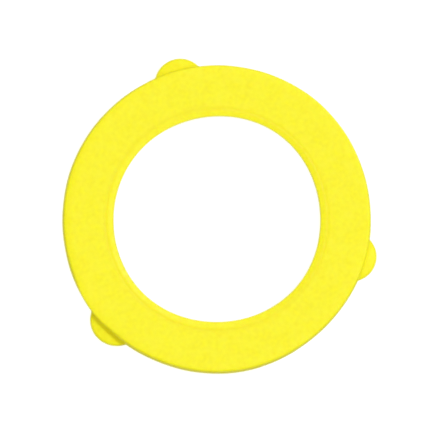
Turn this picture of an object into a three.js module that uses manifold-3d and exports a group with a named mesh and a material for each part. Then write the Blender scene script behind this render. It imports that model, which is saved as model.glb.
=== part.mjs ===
// A sealing washer for a threaded hose coupling: one soft moulding, a flat ring with
// three thin round ears that snap into the coupling's thread and stop it falling out.
//
// Frame: millimetres. The origin is the washer's centre, +Z is its axis, and z = 0 is its
// mid-plane, where the mould halves met. Both faces are alike, so it seals either way up.
// One ear points along +Y and the other two follow at a third of a turn.

import * as THREE from "three";
import { mergeVertices } from "three/addons/utils/BufferGeometryUtils.js";
import Module from "manifold-3d";

// Driving dimensions of the ring. Both radii are at the mid-plane.
const OUTER_RADIUS = 12.0;
const BORE_RADIUS = 8.05;
const THICKNESS = 3.0;

// The outer wall draws in by its draft towards each face, ends in a small round, and
// rises over a gentle crown to the flat of the face.
const WALL_DRAFT = 0.1;
const EDGE_ROUND = 0.18;
const CROWN_WIDTH = 0.55;
const CROWN_RISE = 0.02;

// A shallow crease sets off a bead beside the bore. The bead slopes down to a small round,
// and the bore's wall opens by its own draft towards each face.
const CREASE_RADIUS = 8.64;
const CREASE_HALF_WIDTH = 0.16;
const CREASE_DEPTH = 0.012;
const BEAD_FALL = 0.055;
const BORE_ROUND = 0.06;
const BORE_DRAFT = 0.02;

// Driving dimensions of the ears. They are thickest where they leave the ring's wall, and
// each of their faces comes in by the taper for every millimetre further out.
const EAR_COUNT = 3;
const EAR_ARC_RADIUS = 1.97;
const EAR_TIP_RADIUS = 12.92;
const EAR_THICKNESS = 1.1;
const EAR_TAPER = 0.15;
const EAR_EDGE_ROUND = 0.22;
const EAR_ROOT_FILLET = 0.2;
const EAR_FIRST_ANGLE = Math.PI / 2;

// How finely round shapes are cut into flats.
const TURN_STEPS = 96;
const ROUND_STEPS = 5;
const CROWN_STEPS = 3;
const CREASE_STEPS = 4;
const EAR_ARC_STEPS = 24;
const FILLET_STEPS = 4;
const EDGE_ROUND_STEPS = 3;

const HALF = THICKNESS / 2;

// --- Solids ---------------------------------------------------------------------------

const wasm = await Module();
wasm.setup();

// A closed three.js geometry as a solid that can be joined to another.
function solidOf(geometry) {
  const bare = geometry.clone();
  bare.deleteAttribute("normal");
  bare.deleteAttribute("uv");
  const merged = mergeVertices(bare, 1e-4);
  const mesh = new wasm.Mesh({
    numProp: 3,
    vertProperties: merged.getAttribute("position").array,
    triVerts: new Uint32Array(merged.getIndex().array),
  });
  return new wasm.Manifold(mesh);
}

// A joined solid back as a three.js geometry, flat shaded like the facets it has.
function geometryOf(solid) {
  const mesh = solid.getMesh();
  const geometry = new THREE.BufferGeometry();
  geometry.setAttribute("position", new THREE.BufferAttribute(mesh.vertProperties, 3));
  geometry.setIndex(new THREE.BufferAttribute(mesh.triVerts, 1));
  const faceted = geometry.toNonIndexed();
  faceted.computeVertexNormals();
  return faceted;
}

// --- The ring -------------------------------------------------------------------------

// Runs visit with each share from 0 to 1 that ends one of this many equal steps.
function eachStep(steps, visit) {
  for (let i = 1; i <= steps; i++) visit(i / steps);
}

// The upper half of the ring's section, from the outer wall at mid-height, over the face,
// to the bore's wall at mid-height. x is the distance from the axis and y is the height.
function upperSection() {
  const points = [];
  const add = (radius, height) => points.push(new THREE.Vector2(radius, height));

  const wallTop = OUTER_RADIUS - WALL_DRAFT;
  const crownFoot = HALF - CROWN_RISE;
  add(OUTER_RADIUS, 0);
  add(wallTop, crownFoot - EDGE_ROUND);
  eachStep(ROUND_STEPS, (share) => {
    const turn = (Math.PI / 2) * share;
    const radius = wallTop - EDGE_ROUND * (1 - Math.cos(turn));
    add(radius, crownFoot - EDGE_ROUND * (1 - Math.sin(turn)));
  });
  eachStep(CROWN_STEPS, (share) => {
    add(wallTop - EDGE_ROUND - CROWN_WIDTH * share, HALF - CROWN_RISE * (1 - share) ** 2);
  });

  const creaseOuter = CREASE_RADIUS + CREASE_HALF_WIDTH;
  add(creaseOuter, HALF);
  eachStep(CREASE_STEPS, (share) => {
    const dip = (CREASE_DEPTH * (1 - Math.cos(2 * Math.PI * share))) / 2;
    add(creaseOuter - 2 * CREASE_HALF_WIDTH * share, HALF - dip);
  });

  const boreTop = BORE_RADIUS + BORE_DRAFT;
  const beadFoot = HALF - BEAD_FALL;
  add(boreTop + BORE_ROUND, beadFoot);
  eachStep(ROUND_STEPS, (share) => {
    const turn = (Math.PI / 2) * share;
    const radius = boreTop + BORE_ROUND * (1 - Math.sin(turn));
    add(radius, beadFoot - BORE_ROUND * (1 - Math.cos(turn)));
  });
  add(BORE_RADIUS, 0);
  return points;
}

// The whole section closed on itself, swept round the axis, then stood up so that +Z is up.
function makeRing() {
  const upper = upperSection();
  const between = upper.slice(1, -1);
  const lower = between.map((p) => new THREE.Vector2(p.x, -p.y)).reverse();
  const section = [...upper, ...lower, upper[0].clone()];
  const ring = new THREE.LatheGeometry(section, TURN_STEPS);
  return ring.rotateX(Math.PI / 2);
}

// --- The ears -------------------------------------------------------------------------

// Points along an arc, ends included, turning evenly from one angle to the other.
function arcPoints(centre, radius, from, to, steps) {
  const points = [];
  for (let i = 0; i <= steps; i++) {
    const angle = from + ((to - from) * i) / steps;
    const x = centre.x + radius * Math.cos(angle);
    const y = centre.y + radius * Math.sin(angle);
    points.push(new THREE.Vector2(x, y));
  }
  return points;
}

// The plan outline of one ear that points along +X: a round nose, a small fillet on each
// side where it leaves the ring's wall, and a root buried inside the ring.
function earOutline() {
  const earCentre = new THREE.Vector2(EAR_TIP_RADIUS - EAR_ARC_RADIUS, 0);

  // The fillet's centre is one fillet radius outside both the wall and the ear's arc.
  const toWall = OUTER_RADIUS + EAR_ROOT_FILLET;
  const toEar = EAR_ARC_RADIUS + EAR_ROOT_FILLET;
  const x = (toWall ** 2 - toEar ** 2 + earCentre.x ** 2) / (2 * earCentre.x);
  const filletCentre = new THREE.Vector2(x, Math.sqrt(toWall ** 2 - x ** 2));

  const earAngle = Math.atan2(filletCentre.y, filletCentre.x - earCentre.x);
  const wallAngle = Math.atan2(filletCentre.y, filletCentre.x);
  const nose = arcPoints(earCentre, EAR_ARC_RADIUS, -earAngle, earAngle, EAR_ARC_STEPS);
  const fillet = arcPoints(
    filletCentre,
    EAR_ROOT_FILLET,
    earAngle + Math.PI,
    wallAngle + Math.PI,
    FILLET_STEPS,
  );

  const left = fillet.slice(1);
  const right = left.map((p) => new THREE.Vector2(p.x, -p.y)).reverse();
  const buried = OUTER_RADIUS - WALL_DRAFT - EDGE_ROUND - EAR_EDGE_ROUND;
  const root = left.at(-1).clone().setLength(buried);
  return [...right, ...nose, ...left, root, new THREE.Vector2(root.x, -root.y)];
}

// Thins an ear that points along +X evenly with its distance out, keeping its faces flat.
function taperOutwards(ear) {
  const position = ear.getAttribute("position");
  for (let i = 0; i < position.count; i++) {
    const loss = (EAR_TAPER * (position.getX(i) - OUTER_RADIUS)) / (EAR_THICKNESS / 2);
    position.setZ(i, position.getZ(i) * (1 - loss));
  }
}

function makeEar() {
  const outline = new THREE.Shape(earOutline());
  const ear = new THREE.ExtrudeGeometry(outline, {
    depth: EAR_THICKNESS - 2 * EAR_EDGE_ROUND,
    bevelEnabled: true,
    bevelThickness: EAR_EDGE_ROUND,
    bevelSize: EAR_EDGE_ROUND,
    bevelOffset: -EAR_EDGE_ROUND,
    bevelSegments: EDGE_ROUND_STEPS,
    steps: 1,
  });
  ear.translate(0, 0, EAR_EDGE_ROUND - EAR_THICKNESS / 2);
  taperOutwards(ear);
  return ear;
}

// --- The washer -----------------------------------------------------------------------

function makeWasher() {
  let washer = solidOf(makeRing());
  for (let i = 0; i < EAR_COUNT; i++) {
    const ear = makeEar().rotateZ(EAR_FIRST_ANGLE + (2 * Math.PI * i) / EAR_COUNT);
    washer = washer.add(solidOf(ear));
  }
  const rubber = new THREE.MeshStandardMaterial({
    color: 0xfcf438,
    roughness: 0.62,
    metalness: 0,
  });
  const mesh = new THREE.Mesh(geometryOf(washer), rubber);
  mesh.name = "washer";
  return mesh;
}

const part = new THREE.Group();
part.add(makeWasher());

export default part;
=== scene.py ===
"""A yellow hose-coupling washer: one soft moulding, a flat ring with three thin round ears.

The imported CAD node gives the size. This script builds the fine surface of the same moulding
in its place: the rounded section swept round the axis, the ears drawn out of its wall, the
flash line where the mould halves met, and the small unevenness and grain of moulded vinyl.
Angles go anticlockwise from +X, seen from above, and the washer lies flat with its axis on Z.
"""

import math

import bpy
import numpy as np
from mathutils import Matrix, Vector, noise


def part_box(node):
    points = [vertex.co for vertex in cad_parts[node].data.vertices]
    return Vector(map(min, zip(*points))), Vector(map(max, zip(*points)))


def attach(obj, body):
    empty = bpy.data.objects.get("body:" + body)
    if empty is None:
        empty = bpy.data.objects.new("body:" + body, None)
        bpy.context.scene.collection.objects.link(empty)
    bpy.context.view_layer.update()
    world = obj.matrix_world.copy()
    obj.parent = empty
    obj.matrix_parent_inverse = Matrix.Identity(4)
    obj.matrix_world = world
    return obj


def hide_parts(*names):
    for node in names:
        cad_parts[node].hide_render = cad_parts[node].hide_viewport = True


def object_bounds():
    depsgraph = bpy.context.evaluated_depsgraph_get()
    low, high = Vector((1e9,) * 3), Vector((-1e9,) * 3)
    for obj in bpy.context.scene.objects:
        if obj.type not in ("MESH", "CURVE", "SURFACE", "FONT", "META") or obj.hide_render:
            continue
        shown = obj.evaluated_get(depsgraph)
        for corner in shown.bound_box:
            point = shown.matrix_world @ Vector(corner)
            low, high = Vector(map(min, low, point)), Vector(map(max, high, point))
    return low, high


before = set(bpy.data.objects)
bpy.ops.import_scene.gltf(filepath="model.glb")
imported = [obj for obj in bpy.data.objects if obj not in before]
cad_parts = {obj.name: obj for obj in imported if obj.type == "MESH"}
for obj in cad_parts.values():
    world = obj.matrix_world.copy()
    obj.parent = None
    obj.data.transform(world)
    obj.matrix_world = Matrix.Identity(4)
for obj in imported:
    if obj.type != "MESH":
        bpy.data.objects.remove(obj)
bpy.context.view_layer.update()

MM = 0.001
FULL_TURN = 2 * math.pi

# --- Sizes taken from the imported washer, in metres ---------------------------------------

node_low, node_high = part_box("washer")
cad_points = np.array([v.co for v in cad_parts["washer"].data.vertices])

OUTER_RADIUS = node_high.x
EAR_TIP_RADIUS = node_high.y
BORE_RADIUS = float(np.hypot(cad_points[:, 0], cad_points[:, 1]).min())
HALF_THICKNESS = (node_high.z - node_low.z) / 2

# --- The section, in metres --------------------------------------------------------------

WALL_DRAFT = 0.085 * MM
EDGE_ROUND = 0.145 * MM
CROWN_WIDTH = 0.55 * MM
CROWN_RISE = 0.05 * MM
CREASE_RADIUS = 8.64 * MM
CREASE_HALF_WIDTH = 0.16 * MM
CREASE_DEPTH = 0.012 * MM
BEAD_FALL = 0.055 * MM
BORE_ROUND = 0.022 * MM
BORE_DRAFT = 0.004 * MM
# The height at which the wall ends and the edge's round begins.
WALL_TOP = HALF_THICKNESS - CROWN_RISE - EDGE_ROUND

# The crown is full at this angle, and fades to nothing on the far side of the washer.
CROWN_SIDE = math.radians(155)
# The bore's mouth is slightly oval: it opens by this much more towards this angle and the
# opposite one.
BORE_OVAL_SIDE = math.radians(357)
BORE_OVAL = 0.034 * MM
# The wall leans in by this much more on this side and less on the far one, as if the mould
# sat slightly askew, and the edge is rounder here and sharper there by this share.
MISMATCH_SIDE = math.radians(231)
MISMATCH = 0.070 * MM
EDGE_ROUND_SPREAD = 0.28
# A short stretch of the edge beside the second ear is sharper than the rest.
SHARP_ANGLE = math.radians(199)
SHARP_HALF_WIDTH = math.radians(10)
SHARPNESS = 0.75

# --- The ears ----------------------------------------------------------------------------

EAR_HALF_THICKNESS = 0.55 * MM
EAR_TAPER = 0.15
EAR_EDGE_ROUND = 0.22 * MM
EAR_ROOT_ROUND = 0.15 * MM
EAR_PLAN_BLEND = 0.08 * MM
# Half the angle that an ear takes up, with a little to spare.
EAR_HALF_ANGLE = math.radians(11)
# Beyond an ear's ends its twist fades out over this many times that angle.
TWIST_FADE = 0.5
# The circle of an ear's nose is followed out to this share of its half-width, where it runs
# almost straight in towards the wall.
NOSE_SHARE = 0.995
# Past its ends an ear counts as this far inside the wall, so it adds nothing there.
NO_EAR = -1 * MM
# The ears aren't quite alike. Each is (angle in degrees, radius of its round nose, extra
# reach past the CAD's tip, twist: how far it rises for every metre anticlockwise along it).
EARS = [
    (90.1, 2.02 * MM, -0.02 * MM, 0.0),
    (210.2, 2.04 * MM, 0.09 * MM, -0.10),
    (329.45, 1.96 * MM, -0.09 * MM, 0.05),
]

# --- How finely the surface is meshed ----------------------------------------------------

COLUMNS = 664
# Columns are this many times closer together at the ears than between them.
EAR_COLUMN_DENSITY = 2.2
# The spacing changes back over this many times an ear's half-angle.
EAR_COLUMN_EASE = 0.6
# The spacing is worked out at this many angles round the ring.
SPACING_ANGLES = 7200

# Each column's path from mid-height to the edge is first drawn with this many steps on each
# round, points on each upright stretch, and points on an ear's sloping top.
PATH_ROUND_STEPS = 16
PATH_WALL_POINTS = 6
PATH_SHELF_POINTS = 12
# It's then divided again into this many equal steps.
OUTER_PATH_STEPS = 21

# Steps along each of the other stretches of the section.
EDGE_STEPS = 8
CROWN_STEPS = 6
FACE_STEPS = 16
CREASE_STEPS = 8
BEAD_STEPS = 5
BORE_ROUND_STEPS = 5
BORE_WALL_STEPS = 6


def smooth_max(a, b, blend):
    """The larger of a and b, with the corner between them rounded over the width of blend."""
    gap = np.clip(0.5 + (a - b) / (2 * blend), 0, 1)
    return b + (a - b) * gap + blend * gap * (1 - gap)


def turned(angles, centre):
    """Angles measured from centre, from minus to plus half a turn."""
    return (angles - centre + math.pi) % FULL_TURN - math.pi


def column_angles():
    """The angles of the mesh's columns, closer together at the ears than between them."""
    fine = np.linspace(0, FULL_TURN, SPACING_ANGLES, endpoint=False)
    density = np.ones_like(fine)
    for angle, *_ in EARS:
        away = np.abs(turned(fine, math.radians(angle))) / EAR_HALF_ANGLE
        near = np.clip(1 + EAR_COLUMN_EASE - away, 0, EAR_COLUMN_EASE) / EAR_COLUMN_EASE
        density += (EAR_COLUMN_DENSITY - 1) * near
    total = np.concatenate([[0], np.cumsum(density)])
    edges = np.linspace(0, FULL_TURN, len(fine) + 1)
    return np.interp(np.arange(COLUMNS) / COLUMNS * total[-1], total, edges)


def ear_reach(angles):
    """How far the ears stand out past the ring's wall at each angle."""
    reach = np.zeros_like(angles)
    for angle, nose, extra, _ in EARS:
        away = turned(angles, math.radians(angle))
        centre = EAR_TIP_RADIUS - nose
        sideways = np.minimum(centre * np.abs(np.sin(away)), nose * NOSE_SHARE)
        radius = centre * np.cos(away) + np.sqrt(nose**2 - sideways**2)
        beyond = np.abs(away) > EAR_HALF_ANGLE
        raw = np.where(beyond, NO_EAR, radius + extra - OUTER_RADIUS)
        reach = np.maximum(reach, smooth_max(raw, 0.0, EAR_PLAN_BLEND))
    return reach


def ear_twist(angles):
    """How far the ears are bent up at each angle, easing off to nothing beyond their ends."""
    rise = np.zeros_like(angles)
    for angle, _, _, twist in EARS:
        away = turned(angles, math.radians(angle))
        past_end = np.abs(away) / EAR_HALF_ANGLE - 1
        near = np.clip(1 - past_end / TWIST_FADE, 0, 1)
        rise += twist * away * OUTER_RADIUS * near
    return rise


def quarter(steps):
    """Sine and cosine along a quarter turn, start and end included."""
    turn = np.linspace(0, math.pi / 2, steps + 1)
    return np.sin(turn), np.cos(turn)


def edge_shape(angle):
    """How far the wall leans in up to its top, and the round above it reaches in, at this angle."""
    side = math.cos(angle - MISMATCH_SIDE)
    lean = WALL_DRAFT + MISMATCH * side
    edge_round = EDGE_ROUND * (1 + EDGE_ROUND_SPREAD * side)
    away = abs(turned(angle, SHARP_ANGLE)) / SHARP_HALF_WIDTH
    dull = 1 - SHARPNESS * math.exp(-(away**4))
    return lean * dull, edge_round * dull


def outer_path(reach, slope, lean):
    """One column's path from mid-height on the outer wall, or round an ear, to the edge."""
    # A column cuts across an ear's round at a slant, so the round is longer along the column.
    edge = EAR_EDGE_ROUND * math.sqrt(1 + slope**2)
    root = EAR_ROOT_ROUND
    # Where the ear stands out by less than its two rounds, both shrink to fit.
    fit = min(1.0, reach / (edge + root))
    edge *= fit
    root *= fit
    edge_top = EAR_HALF_THICKNESS - EAR_TAPER * reach
    edge_foot = edge_top - EAR_EDGE_ROUND
    root_top = EAR_HALF_THICKNESS + EAR_ROOT_ROUND
    sine, cosine = quarter(PATH_ROUND_STEPS)

    out = [np.full(PATH_WALL_POINTS, reach)]
    heights = [np.linspace(0, edge_foot, PATH_WALL_POINTS)]
    out.append(reach - edge * (1 - cosine))
    heights.append(edge_foot + EAR_EDGE_ROUND * sine)
    out.append(np.linspace(reach - edge, root, PATH_SHELF_POINTS))
    heights.append(np.linspace(edge_top, EAR_HALF_THICKNESS, PATH_SHELF_POINTS))
    out.append(root * (1 - sine))
    heights.append(root_top - EAR_ROOT_ROUND * cosine)
    out.append(np.zeros(PATH_WALL_POINTS))
    heights.append(np.linspace(root_top, WALL_TOP, PATH_WALL_POINTS))
    heights = np.concatenate(heights)
    wall = OUTER_RADIUS - lean * heights / WALL_TOP
    return wall + np.concatenate(out), heights


def resample(radii, heights, steps):
    """The path again, as equal steps along its length."""
    lengths = np.hypot(np.diff(radii), np.diff(heights))
    along = np.concatenate([[0], np.cumsum(lengths)])
    wanted = np.linspace(0, along[-1], steps + 1)
    return np.interp(wanted, along, radii), np.interp(wanted, along, heights)


def steps_after_start(steps):
    """Shares from 0 to 1 in equal steps, without the 0."""
    return np.linspace(0, 1, steps + 1)[1:]


def crown_share(angle):
    """How much of the crown's full rise there is at this angle, from 0 to 1."""
    return (0.5 + 0.5 * math.cos(angle - CROWN_SIDE)) ** 2


def bore_lean(angle):
    """How far the bore's wall leans outwards from mid-height to its top at this angle."""
    return BORE_DRAFT + BORE_OVAL * math.cos(angle - BORE_OVAL_SIDE) ** 4


def inner_path(crown_rise, wall_top_radius, edge_round, bore_top_radius):
    """The rest of the upper half: edge, crown, face, crease, bead and bore to mid-height."""
    crown_end = wall_top_radius - edge_round - CROWN_WIDTH
    crease_outer = CREASE_RADIUS + CREASE_HALF_WIDTH
    crease_inner = CREASE_RADIUS - CREASE_HALF_WIDTH
    bead_end = bore_top_radius + BORE_ROUND
    bead_foot = HALF_THICKNESS - BEAD_FALL

    sine, cosine = quarter(EDGE_STEPS)
    radii = [wall_top_radius - edge_round * (1 - cosine[1:])]
    edge_top = HALF_THICKNESS - crown_rise
    heights = [WALL_TOP + (edge_top - WALL_TOP) * sine[1:]]

    share = steps_after_start(CROWN_STEPS)
    radii.append(wall_top_radius - edge_round - CROWN_WIDTH * share)
    heights.append(HALF_THICKNESS - crown_rise * (1 - share) ** 2)

    share = steps_after_start(FACE_STEPS)
    radii.append(crown_end + (crease_outer - crown_end) * share)
    heights.append(np.full(FACE_STEPS, HALF_THICKNESS))

    share = steps_after_start(CREASE_STEPS)
    radii.append(crease_outer - 2 * CREASE_HALF_WIDTH * share)
    heights.append(HALF_THICKNESS - CREASE_DEPTH * (1 - np.cos(FULL_TURN * share)) / 2)

    share = steps_after_start(BEAD_STEPS)
    radii.append(crease_inner + (bead_end - crease_inner) * share)
    heights.append(HALF_THICKNESS - BEAD_FALL * share)

    sine, cosine = quarter(BORE_ROUND_STEPS)
    radii.append(bore_top_radius + BORE_ROUND * (1 - sine[1:]))
    heights.append(bead_foot - BORE_ROUND * (1 - cosine[1:]))

    share = steps_after_start(BORE_WALL_STEPS)
    radii.append(bore_top_radius + (BORE_RADIUS - bore_top_radius) * share)
    heights.append((bead_foot - BORE_ROUND) * (1 - share))
    return np.concatenate(radii), np.concatenate(heights)


def section_grid(angles):
    """Radius and height of every mesh point: one row per column angle, one loop per row."""
    reach = ear_reach(angles)
    step = np.diff(np.append(angles, FULL_TURN))
    slopes = (np.roll(reach, -1) - reach) / (step * OUTER_RADIUS)
    rows_r = []
    rows_z = []
    for angle, column_reach, slope in zip(angles, reach, slopes):
        lean, edge_round = edge_shape(angle)
        outer = resample(*outer_path(column_reach, slope, lean), OUTER_PATH_STEPS)
        crown = CROWN_RISE * crown_share(angle)
        wall_top = OUTER_RADIUS - lean
        bore_top = BORE_RADIUS + bore_lean(angle)
        inner_radii, inner_heights = inner_path(crown, wall_top, edge_round, bore_top)
        upper_r = np.concatenate([outer[0], inner_radii])
        upper_z = np.concatenate([outer[1], inner_heights])
        rows_r.append(np.concatenate([upper_r, upper_r[-2:0:-1]]))
        rows_z.append(np.concatenate([upper_z, -upper_z[-2:0:-1]]))
    return np.array(rows_r), np.array(rows_z)


def grid_faces(columns, loop):
    """Quads over a grid that closes on itself both ways."""
    i, j = np.meshgrid(np.arange(columns), np.arange(loop), indexing="ij")
    next_i = (i + 1) % columns
    next_j = (j + 1) % loop
    corners = [i * loop + j, next_i * loop + j, next_i * loop + next_j, i * loop + next_j]
    return np.stack(corners, axis=-1).reshape(-1, 4)


# --- Unevenness of a soft moulding -------------------------------------------------------

# Waves round the ring, each as (waves per turn, height in metres, angle of a crest in degrees):
# of the outline, of the ring's inside, of the bore's edge, and of the whole ring up and down.
OUTLINE_WAVES = [(2, 0.05 * MM, 25), (5, 0.015 * MM, 45), (6, 0.02 * MM, 25)]
INNER_WAVES = [(1, 0.05 * MM, 340)]
BORE_WAVES = [(2, 0.04 * MM, 15), (3, 0.03 * MM, 60), (4, 0.04 * MM, 35)]
LIFT_WAVES = [(2, 0.012 * MM, 100), (3, 0.006 * MM, 20)]
# The bore's waves die out over this distance from the bore.
BORE_WAVE_REACH = 0.8 * MM


def waves(angles, terms):
    """The sum of these waves at each angle."""
    total = np.zeros_like(angles)
    for count, height, crest in terms:
        total += height * np.cos(count * (angles - math.radians(crest)))
    return total


def uneven(angles, radii, heights):
    """The grid with its outline, bore and flatness slightly off true, and its ears twisted."""
    across = np.clip((radii - BORE_RADIUS) / (OUTER_RADIUS - BORE_RADIUS), 0, 1)
    at_bore = np.clip(1 - (radii - BORE_RADIUS) / BORE_WAVE_REACH, 0, 1)
    outside = waves(angles, OUTLINE_WAVES)[:, None]
    inside = waves(angles, INNER_WAVES)[:, None]
    bore = waves(angles, BORE_WAVES)[:, None]
    lift = waves(angles, LIFT_WAVES)[:, None]
    # The twist fades out on the bare wall between an ear's root and the wall's top.
    bare_wall = WALL_TOP - EAR_HALF_THICKNESS - EAR_ROOT_ROUND
    below_edge = (WALL_TOP - np.abs(heights)) / bare_wall
    on_wall = np.where(across > 0.5, np.clip(below_edge, 0, 1), 0)
    lift = lift + ear_twist(angles)[:, None] * on_wall
    shift = outside * across + inside * (1 - across) + bore * at_bore
    return radii + shift, heights + lift


FLASH_HEIGHT = 0.030 * MM
BORE_FLASH_HEIGHT = 0.008 * MM
FLASH_HALF_WIDTH = 0.035 * MM
# The flash's height wavers by this share either way. The waver is the product of two waves,
# with these numbers of waves per turn and the second shifted by this many radians.
FLASH_WAVER = 0.3
FLASH_WAVE_COUNTS = (7, 12)
FLASH_WAVE_SHIFT = 1
GATE_ANGLE = math.radians(270)
GATE_HALF_WIDTH = 0.60 * MM
GATE_HALF_HEIGHT = 0.42 * MM
GATE_HEIGHT = 0.035 * MM
# The gate's stub rises from its rim to its full height over this share of its half-width.
GATE_SLOPE = 1 / 3


def add_mould_marks(angles, radii, heights):
    """The grid with the flash at mid-height, and the trimmed stub of the mould's gate."""
    around = angles[:, None]
    outer = radii > (OUTER_RADIUS + BORE_RADIUS) / 2
    ridge = np.exp(-((heights / FLASH_HALF_WIDTH) ** 2))
    first, second = FLASH_WAVE_COUNTS
    waver = np.cos(first * around) * np.cos(second * around + FLASH_WAVE_SHIFT)
    ridge *= 1 - FLASH_WAVER + FLASH_WAVER * waver
    along = turned(around, GATE_ANGLE) * OUTER_RADIUS / GATE_HALF_WIDTH
    from_rim = 1 - np.hypot(along, heights / GATE_HALF_HEIGHT)
    inside = np.clip(from_rim / GATE_SLOPE, 0, 1)
    stub = GATE_HEIGHT * inside * inside * (3 - 2 * inside)
    outside = np.maximum(FLASH_HEIGHT * ridge, stub)
    return np.where(outer, radii + outside, radii - BORE_FLASH_HEIGHT * ridge)


# The fine relief, in layers of (size of a lump in metres, its height in metres, offset that
# gives the layer its own pattern).
GRAIN = [
    (2.6 * MM, 0.0060 * MM, 11.0),
    (0.80 * MM, 0.0022 * MM, 23.0),
    (0.34 * MM, 0.0012 * MM, 37.0),
]


def grain_heights(points):
    """How far each point stands off the smooth surface."""
    total = np.zeros(len(points))
    for size, height, offset in GRAIN:
        scaled = points / size + offset
        total += height * np.array([noise.noise(Vector(p)) for p in scaled])
    return total


def make_washer():
    """The whole moulding, as one closed mesh object."""
    angles = column_angles()
    radii, heights = section_grid(angles)
    radii = add_mould_marks(angles, radii, heights)
    radii, heights = uneven(angles, radii, heights)
    x = radii * np.cos(angles)[:, None]
    y = radii * np.sin(angles)[:, None]
    points = np.stack([x, y, heights], axis=-1).reshape(-1, 3)
    faces = grid_faces(*radii.shape)

    mesh = bpy.data.meshes.new("washer_moulding")
    mesh.from_pydata(points.tolist(), [], faces.tolist())
    normals = np.zeros(len(points) * 3, np.float32)
    mesh.vertex_normals.foreach_get("vector", normals)
    points += normals.reshape(-1, 3) * grain_heights(points)[:, None]
    mesh.vertices.foreach_set("co", points.astype(np.float32).ravel())
    mesh.polygons.foreach_set("use_smooth", np.ones(len(faces), bool))
    mesh.update()

    washer = bpy.data.objects.new("washer_moulding", mesh)
    bpy.context.scene.collection.objects.link(washer)
    return washer


# --- Material ----------------------------------------------------------------------------


def node(tree, kind, **values):
    """A shader node with its properties set."""
    made = tree.nodes.new(kind)
    for name, value in values.items():
        setattr(made, name, value)
    return made


def noise_map(tree, coordinates, size, detail):
    """A noise pattern, from 0 to 1, with lumps about this size in metres."""
    made = node(tree, "ShaderNodeTexNoise")
    made.inputs["Scale"].default_value = 1 / size
    made.inputs["Detail"].default_value = detail
    tree.links.new(coordinates, made.inputs["Vector"])
    return made.outputs["Fac"]


def remap(tree, value, old, new):
    """Value stretched from the old (low, high) to the new one, and kept within it."""
    made = node(tree, "ShaderNodeMapRange", clamp=True)
    tree.links.new(value, made.inputs["Value"])
    made.inputs["From Min"].default_value = old[0]
    made.inputs["From Max"].default_value = old[1]
    made.inputs["To Min"].default_value = new[0]
    made.inputs["To Max"].default_value = new[1]
    return made.outputs["Result"]


def mix_colours(tree, share, first, second):
    """Between two colours; each is an RGBA tuple or a socket, and share is a socket."""
    made = node(tree, "ShaderNodeMix", data_type="RGBA")
    tree.links.new(share, made.inputs["Factor"])
    for name, colour in (("A", first), ("B", second)):
        socket = [s for s in made.inputs if s.name == name and s.type == "RGBA"][0]
        if isinstance(colour, tuple):
            socket.default_value = colour
        else:
            tree.links.new(colour, socket)
    return [s for s in made.outputs if s.type == "RGBA"][0]


YELLOW = (0.970, 0.880, 0.0005, 1)
YELLOW_DEEP = (0.906, 0.816, 0.0005, 1)
YELLOW_PALE = (0.974, 0.886, 0.0170, 1)
# A deeper yellow, painted into the crease as shade.
YELLOW_CREASE_SHADE = (0.840, 0.760, 0.0005, 1)
# How strongly the crease's painted shade darkens its middle, and how far to each side that reaches.
CREASE_SHADE = 0.50
CREASE_SHADE_REACH = 0.28 * MM

# Each pattern in the pigment has a size, the range of its noise over which it comes in, and
# the most that it covers of what is under it.
FINE_SIZE = 0.29 * MM
FINE_RANGE = (0.25, 0.75)
CLOUD_SIZE = 0.55 * MM
CLOUD_RANGE = (0.30, 0.70)
CLOUD_COVER = 0.6
SPECK_SIZE = 0.40 * MM
SPECK_RANGE = (0.70, 0.78)
SPECK_COVER = 0.6

# The surface's roughness varies with the specks' noise.
SHEEN_RANGE = (0.3, 0.7)
ROUGHNESS = (0.52, 0.66)
VINYL_IOR = 1.5
SPECULAR_LEVEL = 0.37
# How much of the light passes in, and how far it travels there: this distance, times these
# factors for red, green and blue.
SUBSURFACE_SHARE = 0.6
SUBSURFACE_SCALE = 0.6 * MM
SUBSURFACE_REACH = (1.0, 0.85, 0.10)
BUMP_STRENGTH = 0.5
BUMP_HEIGHT = 0.006 * MM


def paint_crease_shade(tree, coordinates, colour):
    """The colour, deepened softly across the crease as painted shade for the groove."""
    flat = node(tree, "ShaderNodeVectorMath", operation="MULTIPLY")
    tree.links.new(coordinates, flat.inputs[0])
    flat.inputs[1].default_value = (1, 1, 0)
    radius = node(tree, "ShaderNodeVectorMath", operation="LENGTH")
    tree.links.new(flat.outputs["Vector"], radius.inputs[0])
    off = node(tree, "ShaderNodeMath", operation="SUBTRACT")
    tree.links.new(radius.outputs["Value"], off.inputs[0])
    off.inputs[1].default_value = CREASE_RADIUS
    away = node(tree, "ShaderNodeMath", operation="ABSOLUTE")
    tree.links.new(off.outputs["Value"], away.inputs[0])
    share = remap(tree, away.outputs["Value"], (0, CREASE_SHADE_REACH), (CREASE_SHADE, 0))
    return mix_colours(tree, share, colour, YELLOW_CREASE_SHADE)


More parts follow.
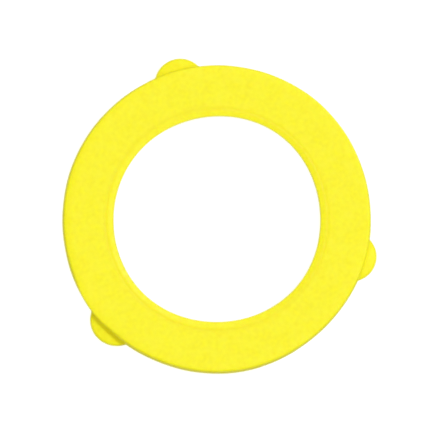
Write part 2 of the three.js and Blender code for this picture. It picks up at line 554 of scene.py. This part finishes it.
def vinyl():
    """Matte yellow vinyl: fine pigment mottling, uneven sheen and a fine moulded grain."""
    material = bpy.data.materials.new("yellow_vinyl")
    material.use_nodes = True
    tree = material.node_tree
    surface = tree.nodes["Principled BSDF"]
    coordinates = node(tree, "ShaderNodeTexCoord").outputs["Object"]

    fine = noise_map(tree, coordinates, FINE_SIZE, detail=0)
    cloudy = noise_map(tree, coordinates, CLOUD_SIZE, detail=1)
    speck = noise_map(tree, coordinates, SPECK_SIZE, detail=1)

    bright = remap(tree, fine, FINE_RANGE, (0, 1))
    mottled = mix_colours(tree, bright, YELLOW_DEEP, YELLOW)
    patches = remap(tree, cloudy, CLOUD_RANGE, (0, CLOUD_COVER))
    mottled = mix_colours(tree, patches, mottled, YELLOW_PALE)
    dots = remap(tree, speck, SPECK_RANGE, (0, SPECK_COVER))
    mottled = mix_colours(tree, dots, mottled, YELLOW_PALE)
    # The crease is darkened with painted shade.
    coloured = paint_crease_shade(tree, coordinates, mottled)
    tree.links.new(coloured, surface.inputs["Base Color"])

    roughness = remap(tree, speck, SHEEN_RANGE, ROUGHNESS)
    tree.links.new(roughness, surface.inputs["Roughness"])
    surface.inputs["IOR"].default_value = VINYL_IOR
    surface.inputs["Specular IOR Level"].default_value = SPECULAR_LEVEL
    surface.inputs["Subsurface Weight"].default_value = SUBSURFACE_SHARE
    surface.inputs["Subsurface Radius"].default_value = SUBSURFACE_REACH
    surface.inputs["Subsurface Scale"].default_value = SUBSURFACE_SCALE

    bump = node(tree, "ShaderNodeBump")
    bump.inputs["Strength"].default_value = BUMP_STRENGTH
    bump.inputs["Distance"].default_value = BUMP_HEIGHT
    tree.links.new(fine, bump.inputs["Height"])
    tree.links.new(bump.outputs["Normal"], surface.inputs["Normal"])
    return material


# --- Floor, light and camera -------------------------------------------------------------

# The picture is turned: its upward direction is this angle in the washer's own frame.
PICTURE_UP = math.radians(75)
PICTURE_WIDTH = 33.08 * MM
# The camera aims this far to the left of the washer's axis and above it in the picture.
AIM_LEFT = 0.32 * MM
AIM_UP = 0.53 * MM
CAMERA_LENS = 1000.0
# The camera sees from this share of its distance to this many times it.
CLIP_NEAR = 0.01
CLIP_FAR = 10
# The render's pixel filter, in pixels. It gives the softness of a small, compressed picture.
PIXEL_FILTER = 2.2

# The fill from the sky is warm and the key light cool. Together they are close to neutral on a
# level face, so shade is a deeper yellow and the face keeps its colour. The key light stands
# at this angle and elevation, and looks this wide.
KEY_TOWARDS = math.radians(12)
KEY_ELEVATION = math.radians(66)
KEY_SPREAD = math.radians(6)
KEY_POWER = 1.434
KEY_COLOUR = (1.0, 1.02, 1.76)
SKY_STRENGTH = 0.635
SKY_COLOUR = (1.0, 0.985, 0.50, 1)

FLOOR_HALF_SIDE = 3.0
# The floor's own colour as the camera sees it, and as it lights the washer.
FLOOR_SEEN = (0.45, 0.45, 0.45, 1)
FLOOR_BOUNCE = (0.58, 0.58, 0.58, 1)
# The floor also glows to the camera. The glow falls from the first strength to the second as
# the view goes from steep to shallow: from 0 seen straight on to 1 edge-on, over this range.
FLOOR_TURN = (0.15, 0.60)
FLOOR_GLOW = (0.95, 0.50)


def direction(angle, elevation):
    """Unit vector at this angle round the axis and this elevation above the horizon."""
    level = math.cos(elevation)
    return Vector((level * math.cos(angle), level * math.sin(angle), math.sin(elevation)))


def by_camera_ray(tree, seen, otherwise):
    """A shader that looks like seen to the camera and lights the object like otherwise."""
    mix = node(tree, "ShaderNodeMixShader")
    ray = node(tree, "ShaderNodeLightPath").outputs["Is Camera Ray"]
    tree.links.new(ray, mix.inputs["Fac"])
    tree.links.new(otherwise, mix.inputs[1])
    tree.links.new(seen, mix.inputs[2])
    return mix.outputs["Shader"]


def floor_material():
    """White paper: overexposed from above, so no shadow shows, and with a soft one from the side."""
    material = bpy.data.materials.new("floor_white")
    material.use_nodes = True
    tree = material.node_tree
    tree.nodes.remove(tree.nodes["Principled BSDF"])
    paper = node(tree, "ShaderNodeBsdfDiffuse")
    paper.inputs["Color"].default_value = FLOOR_SEEN
    glow = node(tree, "ShaderNodeEmission")
    facing = node(tree, "ShaderNodeLayerWeight").outputs["Facing"]
    strength = remap(tree, facing, FLOOR_TURN, FLOOR_GLOW)
    tree.links.new(strength, glow.inputs["Strength"])
    seen = node(tree, "ShaderNodeAddShader")
    tree.links.new(paper.outputs["BSDF"], seen.inputs[0])
    tree.links.new(glow.outputs["Emission"], seen.inputs[1])
    bounce = node(tree, "ShaderNodeBsdfDiffuse")
    bounce.inputs["Color"].default_value = FLOOR_BOUNCE
    shader = by_camera_ray(tree, seen.outputs["Shader"], bounce.outputs["BSDF"])
    tree.links.new(shader, tree.nodes["Material Output"].inputs["Surface"])
    return material


def make_floor(height):
    """A large square floor at this height."""
    side = FLOOR_HALF_SIDE
    mesh = bpy.data.meshes.new("floor")
    corners = [(-side, -side, 0), (side, -side, 0), (side, side, 0), (-side, side, 0)]
    mesh.from_pydata(corners, [], [(0, 1, 2, 3)])
    mesh.materials.append(floor_material())
    floor = bpy.data.objects.new("floor", mesh)
    floor.location.z = height
    bpy.context.scene.collection.objects.link(floor)


def make_world():
    """Even light from all round, and a plain white background to the camera."""
    world = bpy.data.worlds.new("studio")
    world.use_nodes = True
    tree = world.node_tree
    light = tree.nodes["Background"]
    light.inputs["Color"].default_value = SKY_COLOUR
    light.inputs["Strength"].default_value = SKY_STRENGTH
    seen = node(tree, "ShaderNodeBackground")
    seen.inputs["Color"].default_value = (1, 1, 1, 1)
    shader = by_camera_ray(tree, seen.outputs["Background"], light.outputs["Background"])
    tree.links.new(shader, tree.nodes["World Output"].inputs["Surface"])
    bpy.context.scene.world = world


def make_key_light():
    """A distant light from one side, for the step's shadow and the shaded edges."""
    data = bpy.data.lights.new("key", "SUN")
    data.angle = KEY_SPREAD
    data.energy = KEY_POWER
    data.color = KEY_COLOUR
    key = bpy.data.objects.new("key", data)
    towards = direction(KEY_TOWARDS, KEY_ELEVATION)
    key.rotation_euler = towards.to_track_quat("Z", "Y").to_euler()
    bpy.context.scene.collection.objects.link(key)


def make_camera():
    """A long lens, looking straight down."""
    back = Vector((0, 0, 1))
    up = direction(PICTURE_UP, 0)
    right = up.cross(back)
    aim = up * AIM_UP - right * AIM_LEFT
    data = bpy.data.cameras.new("camera")
    data.lens = CAMERA_LENS
    distance = PICTURE_WIDTH * data.lens / data.sensor_width
    data.clip_start = distance * CLIP_NEAR
    data.clip_end = distance * CLIP_FAR
    camera = bpy.data.objects.new("camera", data)
    turn = Matrix((right, up, back)).transposed().to_4x4()
    camera.matrix_world = Matrix.Translation(aim + back * distance) @ turn
    bpy.context.scene.collection.objects.link(camera)
    bpy.context.scene.camera = camera


def set_picture_tones():
    """Plain tones, and a slightly soft picture."""
    view = bpy.context.scene.view_settings
    view.view_transform = "Standard"
    view.look = "None"
    bpy.context.scene.cycles.filter_width = PIXEL_FILTER


# --- The scene ---------------------------------------------------------------------------

washer = make_washer()
washer.data.materials.append(vinyl())
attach(washer, "root")
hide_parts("washer")

low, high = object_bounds()
make_floor(low.z)
make_world()
make_key_light()
make_camera()
set_picture_tones()
